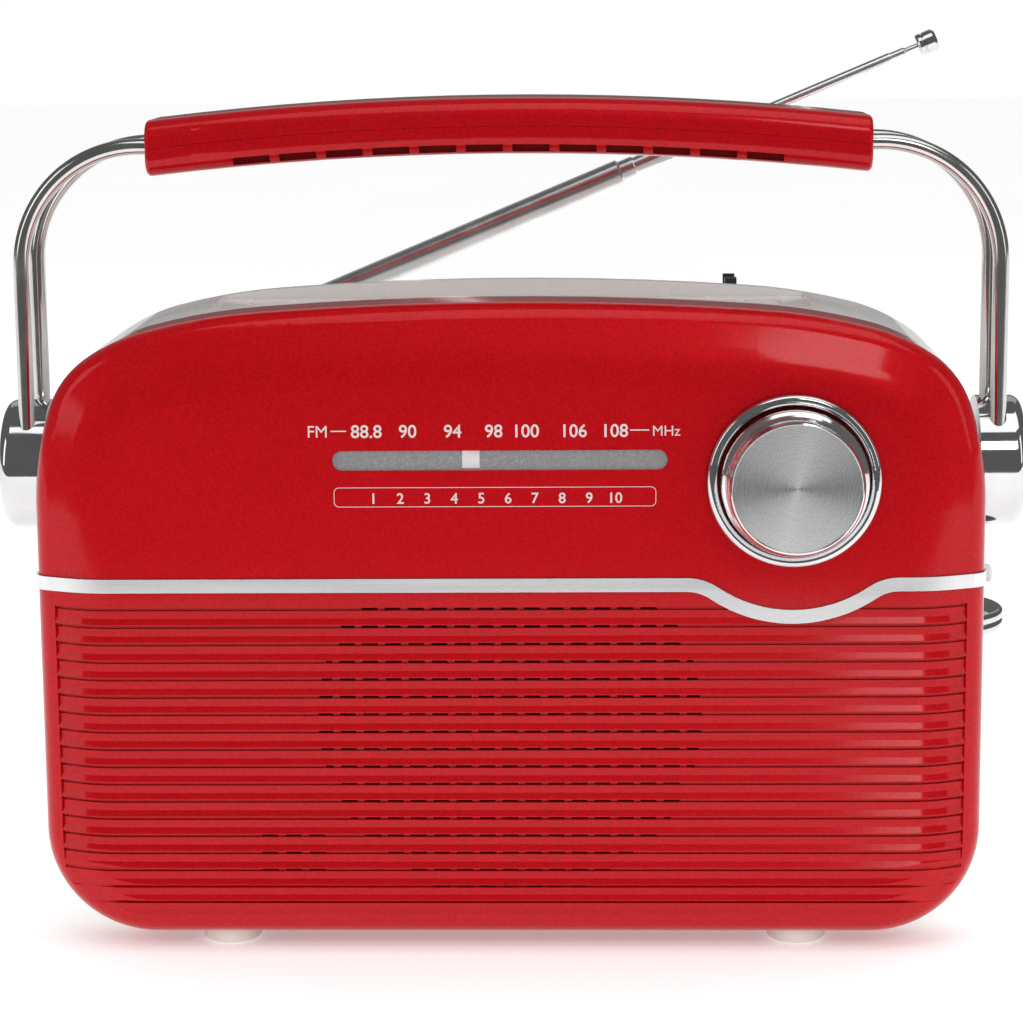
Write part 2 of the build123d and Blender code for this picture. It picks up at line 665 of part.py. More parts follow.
with BuildPart() as speaker_frame:
    with BuildSketch(plane_y(FRONT_Y + 7.2)):
        with Locations((0, SPEAKER_Z)):
            Circle(49.0)
            RectangleRounded(88, 88, 5)
            Circle(42.0, mode=Mode.SUBTRACT)
        with Locations((0, SPEAKER_Z)):
            with GridLocations(79, 79, 2, 2):
                Circle(SCREW_R + FIT, mode=Mode.SUBTRACT)
    extrude(amount=1.15)
    with BuildSketch(Plane.XY.offset(SPEAKER_Z)):
        with BuildLine():
            Polyline((42.0, FRONT_Y + 6.05), (43.6, FRONT_Y + 6.05), (43.6, FRONT_Y + 10.0),
                     (26.0, FRONT_Y + 25.8), (8.2, FRONT_Y + 25.8), (8.2, FRONT_Y + 24.4),
                     (25.2, FRONT_Y + 24.4), (42.0, FRONT_Y + 9.4), close=True)
        make_face()
    revolve(axis=speaker_axis)
    with BuildSketch(plane_y(FRONT_Y + 23.5)):
        with Locations((0, SPEAKER_Z)):
            with PolarLocations(34.0, 6):
                RectangleRounded(9.5, 17, 3)
    extrude(amount=11, mode=Mode.SUBTRACT)
save(speaker_frame, "speaker_frame")

with BuildPart() as speaker_magnet:
    with BuildSketch(plane_y(FRONT_Y + 38.5)):
        with Locations((0, SPEAKER_Z)):
            Circle(25.0)
    extrude(amount=10.6)
    fillet(speaker_magnet.faces().sort_by(Axis.Y)[-1].edges(), 1.0)
save(speaker_magnet, "speaker_magnet")

with BuildPart() as speaker_cone:
    with BuildSketch(Plane.XY.offset(SPEAKER_Z)):
        with BuildLine():
            Polyline((38.0, FRONT_Y + 6.6), (38.6, FRONT_Y + 6.9), (12.4, FRONT_Y + 21.6),
                     (9.0, FRONT_Y + 22.6), (9.0, FRONT_Y + 21.8), (12.0, FRONT_Y + 20.8), close=True)
        make_face()
    revolve(axis=speaker_axis)
save(speaker_cone, "speaker_cone")

with BuildPart() as speaker_surround:
    with BuildSketch(Plane.XY.offset(SPEAKER_Z)):
        with BuildLine():
            arc_low = ThreePointArc((38.75, FRONT_Y + 6.9), (40.3, FRONT_Y + 5.3), (41.9, FRONT_Y + 6.9))
            Line(arc_low @ 1, (41.4, FRONT_Y + 6.9))
            arc_high = ThreePointArc((41.4, FRONT_Y + 6.9), (40.3, FRONT_Y + 5.8), (39.25, FRONT_Y + 6.9))
            Line(arc_high @ 1, arc_low @ 0)
        make_face()
    revolve(axis=speaker_axis)
save(speaker_surround, "speaker_surround")

with BuildPart() as dust_cap:
    with BuildSketch(Plane.XY.offset(SPEAKER_Z)):
        with BuildLine():
            Polyline((0, FRONT_Y + 16.4), (0, FRONT_Y + 15.8), (4.0, FRONT_Y + 16.3),
                     (8.0, FRONT_Y + 17.9), (11.6, FRONT_Y + 20.5), (11.2, FRONT_Y + 20.9),
                     (7.7, FRONT_Y + 18.4), (3.9, FRONT_Y + 16.9), close=True)
        make_face()
    revolve(axis=speaker_axis)
save(dust_cap, "dust_cap")

with BuildPart() as speaker_screws:
    with BuildSketch(plane_y(FRONT_Y + 7.3)):
        with Locations((0, SPEAKER_Z)):
            with GridLocations(79, 79, 2, 2):
                Circle(3.0)
    extrude(amount=-1.6)
    with BuildSketch(plane_y(FRONT_Y + 7.3)):
        with Locations((0, SPEAKER_Z)):
            with GridLocations(79, 79, 2, 2):
                Circle(SCREW_R)
    extrude(amount=1.2)
save(speaker_screws, "speaker_screws")

# ======================= electronics =======================
with BuildPart() as main_board:
    with BuildSketch(plane_y(-13.0)):
        with Locations((66.0, 121.0)):
            Rectangle(84, 48)
        with Locations((30.0, 103.0), (102.0, 103.0), (30.0, 139.0), (102.0, 139.0)):
            Circle(1.5 + FIT, mode=Mode.SUBTRACT)
    extrude(amount=1.6)
save(main_board, "main_board")

with BuildPart() as board_pillars:
    with BuildSketch(plane_y(BACK_Y - WALL - FIT)):
        with Locations((30.0, 103.0), (102.0, 103.0), (30.0, 139.0), (102.0, 139.0)):
            Circle(3.0)
    extrude(amount=BACK_Y - WALL - FIT + 12.9)
    with BuildSketch(plane_y(-12.5)):
        with Locations((30.0, 103.0), (102.0, 103.0), (30.0, 139.0), (102.0, 139.0)):
            Circle(1.5)
    extrude(amount=3.0)
save(board_pillars, "board_pillars")

with BuildPart() as if_cans:
    with BuildSketch(plane_back(0, -12.9, 0)):
        with Locations((-42.0, 132.0), (-56.0, 132.0), (-86.0, 114.0)):
            Rectangle(8, 8)
    extrude(amount=11)
save(if_cans, "if_cans")

with BuildPart() as electrolytics:
    with BuildSketch(plane_back(0, -12.9, 0)):
        with Locations((-42.0, 108.0), (-56.0, 108.0), (-86.0, 130.0)):
            Circle(4.5)
    extrude(amount=13)
    fillet(electrolytics.faces().filter_by(Axis.Y).group_by(Axis.Y)[-1].edges(), 0.8)
save(electrolytics, "electrolytics")

with BuildPart() as audio_chip:
    with BuildSketch(plane_back(-70.0, -12.9, 110.0)):
        Rectangle(9, 19)
    extrude(amount=3.6)
save(audio_chip, "audio_chip")

with BuildPart() as ferrite_rod:
    with BuildSketch(plane_x(-FERRITE_HALF, FERRITE_Y, FERRITE_Z)):
        Circle(FERRITE_R)
    extrude(amount=2 * FERRITE_HALF)
save(ferrite_rod, "ferrite_rod")

with BuildPart() as aerial_coil:
    with BuildSketch(plane_x(-6.0, FERRITE_Y, FERRITE_Z)):
        Circle(FERRITE_R + 1.6)
        Circle(FERRITE_R + FIT, mode=Mode.SUBTRACT)
    extrude(amount=26)
save(aerial_coil, "aerial_coil")

with BuildPart() as volume_pot:
    with BuildSketch(Plane.XY.offset(62.0)):
        with Locations((WHEEL_X, WHEEL_Y)):
            Circle(6.0)
    extrude(amount=12)
    with BuildSketch(Plane.XY.offset(66.0)):
        with Locations((WHEEL_X, WHEEL_Y)):
            Circle(1.5 + FIT)
    extrude(amount=9, mode=Mode.SUBTRACT)
save(volume_pot, "volume_pot")

with BuildPart() as volume_spindle:
    with BuildSketch(Plane.XY.offset(66.2)):
        with Locations((WHEEL_X, WHEEL_Y)):
            Circle(1.5)
    extrude(amount=14.5)
save(volume_spindle, "volume_spindle")

with BuildPart() as volume_wheel:
    with BuildSketch(Plane.XZ) as rim:
        with BuildLine():
            low = WHEEL_Z - WHEEL_H / 2
            top = WHEEL_Z + WHEEL_H / 2
            Polyline((0, low), (WHEEL_R, low), (WHEEL_R, WHEEL_Z - 0.5), (WHEEL_R - 0.6, WHEEL_Z),
                     (WHEEL_R, WHEEL_Z + 0.5), (WHEEL_R, top), (0, top), close=True)
        make_face()
        corners = rim.vertices().filter_by(lambda v: v.X > WHEEL_R - 0.1)
        fillet(corners.filter_by(lambda v: abs(v.Z - WHEEL_Z) > 2), 1.3)
    revolve(axis=Axis.Z)
wheel_placed = Pos(WHEEL_X, WHEEL_Y, 0) * volume_wheel.part

with BuildPart() as volume_wheel:
    add(wheel_placed)
    with BuildSketch(Plane.XY.offset(WHEEL_Z - WHEEL_H)):
        with Locations((WHEEL_X, WHEEL_Y)):
            Circle(1.5 + FIT)
    extrude(amount=WHEEL_H * 1.4, mode=Mode.SUBTRACT)
save(volume_wheel, "volume_wheel")

with BuildPart() as headphone_jack:
    with BuildSketch(plane_x(104.0, JACK_Y, JACK_Z)):
        RectangleRounded(10, 9, 1)
    extrude(amount=13.3)
    with BuildSketch(plane_x(117.0, JACK_Y, JACK_Z)):
        Circle(3.0)
    extrude(amount=5.4)
    with BuildSketch(plane_x(108.0, JACK_Y, JACK_Z)):
        Circle(1.8)
    extrude(amount=20, mode=Mode.SUBTRACT)
save(headphone_jack, "headphone_jack")

with BuildPart() as jack_nut:
    with BuildSketch(plane_x(BODY_W / 2 + 0.1, JACK_Y, JACK_Z)):
        Circle(4.4)
        Circle(3.0 + FIT, mode=Mode.SUBTRACT)
    extrude(amount=1.5)
    chamfer(jack_nut.faces().sort_by(Axis.X)[-1].edges(), 0.4)
save(jack_nut, "jack_nut")

with BuildPart() as switch_button:
    with BuildSketch(plane_x(BODY_W / 2 + 0.35, SWITCH_Y, SWITCH_Z)):
        RectangleRounded(6.0, 4.4, 1.6)
    extrude(amount=8.0)
    fillet(switch_button.faces().sort_by(Axis.X)[-1].edges(), 1.2)
    with BuildSketch(plane_x(BODY_W / 2 - 6, SWITCH_Y, SWITCH_Z)):
        Rectangle(3.0, 2.0)
    extrude(amount=7)
save(switch_button, "switch_button")

# ======================= power =======================
with BuildPart() as cells:
    for i in range(CELL_N):
        x = (i - (CELL_N - 1) / 2) * (CELL_L + 1.6)
        with BuildSketch(plane_x(x - CELL_L / 2, CELL_Y, CELL_Z)):
            Circle(CELL_R)
        extrude(amount=CELL_L - 1.2)
        with BuildSketch(plane_x(x + CELL_L / 2 - 1.3, CELL_Y, CELL_Z)):
            Circle(3.6)
        extrude(amount=1.6)
save(cells, "cells")

with BuildPart() as contact_plates:
    for x in (-DOOR_HALF + 0.4, DOOR_HALF - 1.0):
        with BuildSketch(plane_x(x, CELL_Y, CELL_Z)):
            Rectangle(22, 22)
        extrude(amount=0.6)
save(contact_plates, "contact_plates")

with BuildPart() as battery_door:
    with BuildSketch(plane_x(-DOOR_HALF)):
        with Locations((BACK_Y - DOOR_T / 2, (DOOR_Z0 + DOOR_T / 2 + DOOR_Z1) / 2)):
            Rectangle(DOOR_T, DOOR_Z1 - DOOR_Z0 - DOOR_T / 2)
        with Locations((BACK_Y - DOOR_T / 2, DOOR_Z0 + DOOR_T / 2)):
            Circle(DOOR_T / 2)
    extrude(amount=2 * DOOR_HALF)
    # grip ridges near the top edge
    with BuildSketch(plane_back(0, BACK_Y - 0.2, 0)):
        with Locations((0, DOOR_Z1 - 6.0)):
            with GridLocations(1, 2.6, 1, 4):
                SlotOverall(24, 1.2)
    extrude(amount=0.8)
save(battery_door, "battery_door")

# ======================= feet and case screws =======================
feet_at = ((-FEET_X, FOOT_FRONT_Y), (FEET_X, FOOT_FRONT_Y),
           (-FEET_X, FOOT_BACK_Y), (FEET_X, FOOT_BACK_Y))

with BuildPart() as feet:
    with BuildSketch(Plane.XY):
        with Locations(feet_at):
            Circle(FOOT_R)
    extrude(amount=FOOT_H - FIT)
    chamfer(feet.faces().filter_by(Axis.Z).group_by(Axis.Z)[0].edges(), 0.7)
    with BuildSketch(Plane.XY.offset(FOOT_H - 1)):
        with Locations(feet_at):
            Circle(PEG_R)
    extrude(amount=3.2)
save(feet, "feet")

with BuildPart() as case_screws:
    with BuildSketch(plane_y(BACK_Y - 0.2)):
        with Locations(SCREWS):
            Circle(3.2)
    extrude(amount=1.45)
    with BuildSketch(plane_y(BACK_Y - 1.0)):
        with Locations(SCREWS):
            Circle(SCREW_R)
    extrude(amount=BACK_Y + 29)
    with BuildSketch(plane_y(BACK_Y - 0.1)):
        with Locations(SCREWS):
            Rectangle(3.6, 0.8)
            Rectangle(0.8, 3.6)
    extrude(amount=1.0, mode=Mode.SUBTRACT)
save(case_screws, "case_screws")

# ======================= handle =======================


def hub(side):
    """Chrome hub: a rounded drum with a bolt bore, two rod sockets and a seat for its cap."""
    x0 = side * HUB_X0
    face = plane_x(x0, 0, PIVOT_Z)
    solid = extrude(face * Circle(HUB_R), side * (HUB_X1 - HUB_X0))
    rim = solid.edges().sort_by(Axis.X)[-1 if side > 0 else 0]
    solid = fillet(rim, 2.8)
    solid -= extrude(face * Circle(BOLT_R + 0.06), side * 8.2)
    seat = plane_x(side * (HUB_X1 - 1.2), 0, PIVOT_Z)
    solid -= extrude(seat * Circle(13.0), side * 4)
    for y in (-ROD_Y, ROD_Y):
        socket = Plane.XY.offset(PIVOT_Z + 2.0)
        solid -= extrude(socket * Pos(side * ROD_X, y) * Circle(ROD_R + FIT), 30)
    return solid


def handle_wire(side):
    """Bent wire of one side: two legs that turn into the grip and meet in a bend inside it."""
    foot = PIVOT_Z + 2.4
    inner = side * ROD_INNER_X
    with BuildPart() as wire:
        for y in (-ROD_Y, ROD_Y):
            with BuildLine(plane_y(y)) as path:
                FilletPolyline((side * ROD_X, foot), (side * ROD_X, ROD_TOP_Z), (inner, ROD_TOP_Z),
                               radius=ROD_BEND)
            with BuildSketch(Plane.XY.offset(foot)):
                with Locations((side * ROD_X, y)):
                    Circle(ROD_R)
            sweep(path=path.line)
        with BuildLine(Plane.XY.offset(ROD_TOP_Z)) as turn:
            JernArc((inner, ROD_Y), (-side, 0), ROD_Y, side * 180)
        with BuildSketch(plane_x(inner)):
            with Locations((ROD_Y, ROD_TOP_Z)):
                Circle(ROD_R)
        sweep(path=turn.line)
    return wire


for side, word in ((-1, "left"), (1, "right")):
    hub_solid = hub(side)
    with BuildPart() as handle_hub:
        add(hub_solid)
    save(handle_hub, "hub_" + word)
    with BuildPart() as hub_cap:
        with BuildSketch(plane_x(side * (HUB_X1 - 1.2 + FIT), 0, PIVOT_Z)):
            Circle(13.0 - FIT)
        extrude(amount=side * 1.4)
        cap_rim = hub_cap.edges().filter_by(GeomType.CIRCLE).sort_by(Axis.X)
        fillet(cap_rim[-1 if side > 0 else 0], 0.5)
    save(hub_cap, "hub_cap_" + word)
    with BuildPart() as pivot_bolt:
        with BuildSketch(plane_x(side * 115.9, 0, PIVOT_Z)):
            RegularPolygon(7.5, 6)
        extrude(amount=-side * 4)
        with BuildSketch(plane_x(side * 115.5, 0, PIVOT_Z)):
            Circle(BOLT_R)
        extrude(amount=side * 12.9)
    save(pivot_bolt, "pivot_bolt_" + word)

save(handle_wire(-1), "wire_left")
save(handle_wire(1), "wire_right")


def grip_arc(dz):
    """Arc of the grip's side view, dz above its middle line."""
    drop = GRIP_SAG * (GRIP_HALF / 90.0) ** 2
    z = GRIP_MID_Z + dz
    return ThreePointArc((-GRIP_HALF, z - drop), (0, z), (GRIP_HALF, z - drop))


def grip_region(dz_low, dz_high):
    """Upright solid between two arcs of the grip's side view, wider than the grip."""
    low = grip_arc(dz_low)
    high = grip_arc(dz_high)
    face = make_face([low, high, Line(low @ 0, high @ 0), Line(low @ 1, high @ 1)])
    return extrude(plane_y(GRIP_HALF_Y + 2) * face, 2 * GRIP_HALF_Y + 4)


def grip_body():
    """Whole grip: an arched bar with rounded edges, two rod channels and slots underneath."""
    low = grip_arc(-GRIP_H / 2)
    high = grip_arc(GRIP_H / 2)
    face = make_face([low, high, Line(low @ 0, high @ 0), Line(low @ 1, high @ 1)])
    bar = extrude(plane_y(GRIP_HALF_Y) * face, 2 * GRIP_HALF_Y)
    long_edges = bar.edges().filter_by(GeomType.CIRCLE)
    bar = fillet(long_edges, GRIP_ROUND)
    ends = bar.faces().filter_by(Axis.X).edges()
    bar = fillet(ends, 1.2)
    # two pockets that take the wires' turns, open towards the grip's ends
    for side in (-1, 1):
        for y in (-ROD_Y, ROD_Y):
            channel = plane_x(side * (GRIP_HALF + 1), y, ROD_TOP_Z) * Circle(ROD_R + FIT)
            bar -= extrude(channel, -side * (GRIP_HALF + 1 - ROD_INNER_X))
        turn_x = side * (ROD_INNER_X - (ROD_Y + ROD_R) / 2)
        pocket = Plane.XY.offset(ROD_TOP_Z - ROD_R - POCKET_AIR) * Pos(turn_x, 0)
        pocket = pocket * Rectangle(ROD_Y + ROD_R + 1.0, 2 * (ROD_Y + ROD_R + POCKET_AIR))
        bar -= extrude(pocket, 2 * (ROD_R + POCKET_AIR))
    # vents along the lower front and lower back
    band = grip_region(-GRIP_H / 2 + 0.7, -GRIP_H / 2 + 2.6)
    strips = []
    for i in range(GRIP_SLOT_N):
        x = (i - (GRIP_SLOT_N - 1) / 2) * GRIP_SLOT_PITCH
        for side in (-1, 1):
            strips.append(Pos(x, side * GRIP_HALF_Y) * Rectangle(GRIP_SLOT_L, 12))
    columns = extrude(Plane.XY.offset(180) * (Sketch() + strips), 40)
    bar -= band & columns
    return bar


grip_whole = grip_body()
upper_half = grip_whole & grip_region(0.03, GRIP_H)
lower_half = grip_whole & grip_region(-GRIP_H, -0.03)
SCREW_X = 71.5
drop_there = GRIP_SAG * (SCREW_X / 90.0) ** 2
low_face_z = GRIP_MID_Z - GRIP_H / 2 - drop_there

with BuildPart() as grip_lower:
    add(lower_half)
    with BuildSketch(Plane.XY.offset(low_face_z - 1)):
        with Locations((-SCREW_X, 0), (SCREW_X, 0)):
            Circle(3.0)
    extrude(amount=3.2, mode=Mode.SUBTRACT)
    with BuildSketch(Plane.XY.offset(low_face_z - 1)):
        with Locations((-SCREW_X, 0), (SCREW_X, 0)):
            Circle(1.3 + FIT)
    extrude(amount=12, mode=Mode.SUBTRACT)
save(grip_lower, "grip_lower")

with BuildPart() as grip_upper:
    add(upper_half)
    with BuildSketch(Plane.XY.offset(low_face_z)):
        with Locations((-SCREW_X, 0), (SCREW_X, 0)):
            Circle(1.3 + FIT)
    extrude(amount=11.6, mode=Mode.SUBTRACT)
save(grip_upper, "grip_upper")

with BuildPart() as grip_screws:
    with BuildSketch(Plane.XY.offset(low_face_z + 0.6)):
        with Locations((-SCREW_X, 0), (SCREW_X, 0)):
            Circle(2.7)
    extrude(amount=1.5)
    with BuildSketch(Plane.XY.offset(low_face_z + 0.8)):
        with Locations((-SCREW_X, 0), (SCREW_X, 0)):
            Circle(1.3)
    extrude(amount=10.4)
save(grip_screws, "grip_screws")

# ======================= antenna =======================
ANT_DIR = Vector(cos(radians(ANT_TILT)), 0, sin(radians(ANT_TILT)))
ANT_PIVOT = Vector(ANT_X, ANT_Y, ANT_Z)
ant_axis = Axis(ANT_PIVOT, ANT_DIR)
# sketch x is the distance from the antenna's axis, sketch y the distance from the pivot
ant_plane = Plane(origin=ANT_PIVOT, x_dir=(0, 1, 0), z_dir=Vector(0, 1, 0).cross(ANT_DIR))


def tube_points(r_out, r_in, start, end, neck_r, mouth_r, bush_r, bush_l):
    """Half section of a telescopic tube: guide bush at its foot, necked mouth at its head."""
    return [(r_in, start), (bush_r, start), (bush_r, start + bush_l), (r_out, start + bush_l + 0.3),
            (r_out, end - 4.6), (neck_r, end - 4.0), (neck_r, end - 0.3), (neck_r - 0.2, end),
            (mouth_r, end), (mouth_r, end - 3.0), (r_in, end - 3.5)]


section_data = (
    ("antenna_section_1", (S1_R, 2.65, 7.0, S1_END, 2.85, S2_R + FIT, S1_R - 0.3, 1.0)),
    ("antenna_section_2", (S2_R, 1.75, 49.6, S2_END, 2.0, S3_R + FIT, 2.6, 6.0)),
    ("antenna_section_3", (S3_R, 1.05, 92.5, S3_END, 1.25, S4_R + FIT, 1.7, 4.0)),
)
for name, numbers in section_data:
    with BuildPart() as section:
        with BuildSketch(ant_plane):
            with BuildLine():
                Polyline(*tube_points(*numbers), close=True)
            make_face()
        revolve(axis=ant_axis)
    save(section, name)

with BuildPart() as antenna_section_4:
    with BuildSketch(ant_plane):
        with BuildLine():
            Polyline((0, 103), (1.0, 103), (1.0, 106), (S4_R, 106), (S4_R, CAP_START + 2.8),
                     (0, CAP_START + 2.8), close=True)
        make_face()
    revolve(axis=ant_axis)
save(antenna_section_4, "antenna_section_4")

with BuildPart() as antenna_tip:
    with BuildSketch(ant_plane):
        with BuildLine():
            Polyline((S4_R + 0.02, CAP_START), (2.5, CAP_START), (3.0, CAP_START + 0.5),
                     (3.0, CAP_START + 1.4), (2.7, CAP_START + 1.6), (2.7, CAP_START + 1.9),
                     (3.0, CAP_START + 2.1), (3.0, CAP_START + 4.4), (2.4, CAP_START + 5.2),
                     (0, CAP_START + 5.2), (0, CAP_START + 2.9), (S4_R + 0.02, CAP_START + 2.9),
                     close=True)
        make_face()
    revolve(axis=ant_axis)
save(antenna_tip, "antenna_tip")

lug = plane_y(ANT_Y + 3.2) * Pos(ANT_X, ANT_Z) * Circle(6.0)
lug_solid = extrude(lug, 6.2)
neck_plane = Plane(origin=ANT_PIVOT, x_dir=(0, 1, 0), z_dir=ANT_DIR)
neck_solid = extrude(neck_plane * Circle(2.6), 12)
shoulder_solid = extrude(neck_plane * Circle(3.1), 6.9)
lug_bore = extrude(plane_y(ANT_Y + 10) * Pos(ANT_X, ANT_Z) * Circle(1.6 + FIT), 20)

with BuildPart() as antenna_lug:
    add(lug_solid)
    add(shoulder_solid)
    add(neck_solid)
    add(lug_bore, mode=Mode.SUBTRACT)
save(antenna_lug, "antenna_lug")

with BuildPart() as antenna_washer:
    with BuildSketch(plane_back(ANT_X, BACK_Y + 0.45, ANT_Z)):
        Circle(5.6)
        Circle(1.6 + FIT, mode=Mode.SUBTRACT)
    extrude(amount=0.45)
save(antenna_washer, "antenna_washer")

with BuildPart() as antenna_screw:
    with BuildSketch(plane_back(ANT_X, ANT_Y + 3.5, ANT_Z)):
        Circle(5.0)
    extrude(amount=4.2)
    fillet(antenna_screw.faces().sort_by(Axis.Y)[-1].edges(), 1.6)
    with BuildSketch(plane_back(ANT_X, BACK_Y - WALL - 4.6, ANT_Z)):
        Circle(1.6)
    extrude(amount=15)
    with BuildSketch(plane_back(ANT_X, ANT_Y + 6.9, ANT_Z)):
        Rectangle(7.0, 1.1)
    extrude(amount=3, mode=Mode.SUBTRACT)
save(antenna_screw, "antenna_screw")

CLIP_SLOT_Z = ANT_Z + (CLIP_X - ANT_X) * sin(radians(STOW_TILT)) / cos(radians(STOW_TILT))
CLIP_TOP_Z = 166.4
clip_skin = rounded_slab(-FIT, PARTING_Y, BACK_Y + FIT, BACK_ROUND)
clip_plane = plane_x(CLIP_X - CLIP_W / 2)
clip_block = extrude(clip_plane * Pos(43.0, 161.0) * Rectangle(14.4, 2 * (CLIP_TOP_Z - 161.0)), CLIP_W)
clip_slot = clip_plane * (Pos(ANT_Y, CLIP_SLOT_Z) * Circle(S1_R + 0.4))
clip_mouth = clip_plane * Pos(ANT_Y, CLIP_SLOT_Z + 6) * Rectangle(2 * S1_R + 0.8, 12)
clip_body = clip_block - extrude(clip_slot, CLIP_W) - extrude(clip_mouth, CLIP_W) - clip_skin

with BuildPart() as antenna_clip:
    add(clip_body)
save(antenna_clip, "antenna_clip")
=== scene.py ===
import json
from math import cos, radians, sin

import bpy
from mathutils import Matrix, Vector


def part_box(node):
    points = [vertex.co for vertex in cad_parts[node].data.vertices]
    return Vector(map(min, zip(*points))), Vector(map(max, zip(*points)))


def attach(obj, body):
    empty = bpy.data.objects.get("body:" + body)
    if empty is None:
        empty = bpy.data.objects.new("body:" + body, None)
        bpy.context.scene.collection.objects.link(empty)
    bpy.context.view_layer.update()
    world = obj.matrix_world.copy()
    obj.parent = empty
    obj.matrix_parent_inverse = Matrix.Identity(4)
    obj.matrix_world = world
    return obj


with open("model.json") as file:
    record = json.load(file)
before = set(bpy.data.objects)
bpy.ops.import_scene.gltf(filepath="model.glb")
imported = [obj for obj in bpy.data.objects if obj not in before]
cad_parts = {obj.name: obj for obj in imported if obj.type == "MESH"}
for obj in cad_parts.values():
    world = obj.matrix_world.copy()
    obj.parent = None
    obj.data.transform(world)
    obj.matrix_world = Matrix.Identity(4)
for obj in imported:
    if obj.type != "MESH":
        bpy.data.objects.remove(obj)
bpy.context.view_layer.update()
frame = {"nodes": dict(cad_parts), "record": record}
NODES = frame["nodes"]
MM = 0.001
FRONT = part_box("front_shell")[0].y

# The Mix node's sockets share names, so they are reached by number.
MIX_FACTOR = 0
MIX_NUMBERS = (2, 3)
MIX_COLOURS = (6, 7)
MIX_NUMBER_OUT = 0
MIX_COLOUR_OUT = 2


# ---------------------------------------------------------------- materials
def new_material(name):
    m = bpy.data.materials.new(name)
    m.use_nodes = True
    nt = m.node_tree
    return m, nt, nt.nodes["Principled BSDF"]


def set_inputs(node, values):
    for socket, value in values.items():
        node.inputs[socket].default_value = value


def object_coordinates(nt):
    return nt.nodes.new("ShaderNodeTexCoord").outputs["Object"]


def noise(nt, scale, detail=4.0, stretch=None):
    """Noise in the object's own metres; stretch scales its axes."""
    source = object_coordinates(nt)
    if stretch:
        mapping = nt.nodes.new("ShaderNodeMapping")
        mapping.inputs["Scale"].default_value = stretch
        nt.links.new(source, mapping.inputs["Vector"])
        source = mapping.outputs["Vector"]
    tex = nt.nodes.new("ShaderNodeTexNoise")
    set_inputs(tex, {"Scale": scale, "Detail": detail, "Roughness": 0.55})
    nt.links.new(source, tex.inputs["Vector"])
    return tex.outputs["Fac"]


def spread(nt, value, low, high, start=0.3, end=0.7):
    """Maps the range start..end of a value onto low..high."""
    node = nt.nodes.new("ShaderNodeMapRange")
    set_inputs(node, {"From Min": start, "From Max": end, "To Min": low, "To Max": high})
    nt.links.new(value, node.inputs["Value"])
    return node.outputs["Result"]


def blend_colours(nt, value, dark, light):
    node = nt.nodes.new("ShaderNodeMix")
    node.data_type = "RGBA"
    for socket, colour in zip(MIX_COLOURS, (dark, light)):
        node.inputs[socket].default_value = (*colour, 1)
    nt.links.new(value, node.inputs[MIX_FACTOR])
    return node.outputs[MIX_COLOUR_OUT]


def bump(nt, shader, height, strength, depth_mm, socket="Normal"):
    node = nt.nodes.new("ShaderNodeBump")
    set_inputs(node, {"Strength": strength, "Distance": depth_mm * MM})
    nt.links.new(height, node.inputs["Height"])
    nt.links.new(node.outputs["Normal"], shader.inputs[socket])


def surface(name, dark, light, rough, metallic=0.0, scale=60.0, stretch=None, fine=900.0,
            bump_mm=0.02, bump_strength=0.15, coat=0.0, sheen=0.0, aniso=0.0, alpha=1.0):
    """General finish: colour that drifts, roughness that drifts, and a fine relief."""
    m, nt, s = new_material(name)
    broad = noise(nt, scale, stretch=stretch)
    grain = noise(nt, fine, detail=2.0, stretch=stretch)
    nt.links.new(blend_colours(nt, spread(nt, broad, 0, 1), dark, light), s.inputs["Base Color"])
    nt.links.new(spread(nt, broad, *rough), s.inputs["Roughness"])
    bump(nt, s, grain, bump_strength, bump_mm)
    set_inputs(s, {"Metallic": metallic, "IOR": 1.5, "Coat Weight": coat, "Coat Roughness": 0.03,
                   "Sheen Weight": sheen, "Anisotropic": aniso, "Alpha": alpha})
    return m


def metallic_paint(name, deep, bright):
    """Lacquer over a metallic base coat: fine flakes tilt the normal and vary the colour."""
    flake_scale, haze_scale, peel_scale = 2600.0, 45.0, 420.0
    m, nt, s = new_material(name)
    flakes = nt.nodes.new("ShaderNodeTexVoronoi")
    flakes.inputs["Scale"].default_value = flake_scale
    nt.links.new(object_coordinates(nt), flakes.inputs["Vector"])
    sparkle = nt.nodes.new("ShaderNodeSeparateColor")
    nt.links.new(flakes.outputs["Color"], sparkle.inputs["Color"])
    lifted = spread(nt, sparkle.outputs["Red"], 0.0, 1.0, 0.0, 1.0)
    nt.links.new(blend_colours(nt, lifted, deep, bright), s.inputs["Base Color"])
    nt.links.new(spread(nt, noise(nt, haze_scale), 0.34, 0.42), s.inputs["Roughness"])
    bump(nt, s, sparkle.outputs["Green"], 0.05, 0.02)
    bump(nt, s, noise(nt, peel_scale, detail=1.0), 0.03, 0.02, "Coat Normal")
    set_inputs(s, {"Metallic": 0.30, "Specular IOR Level": 0.08, "Coat Weight": 1.0,
                   "Coat Roughness": 0.09, "Coat IOR": 1.3})
    return m


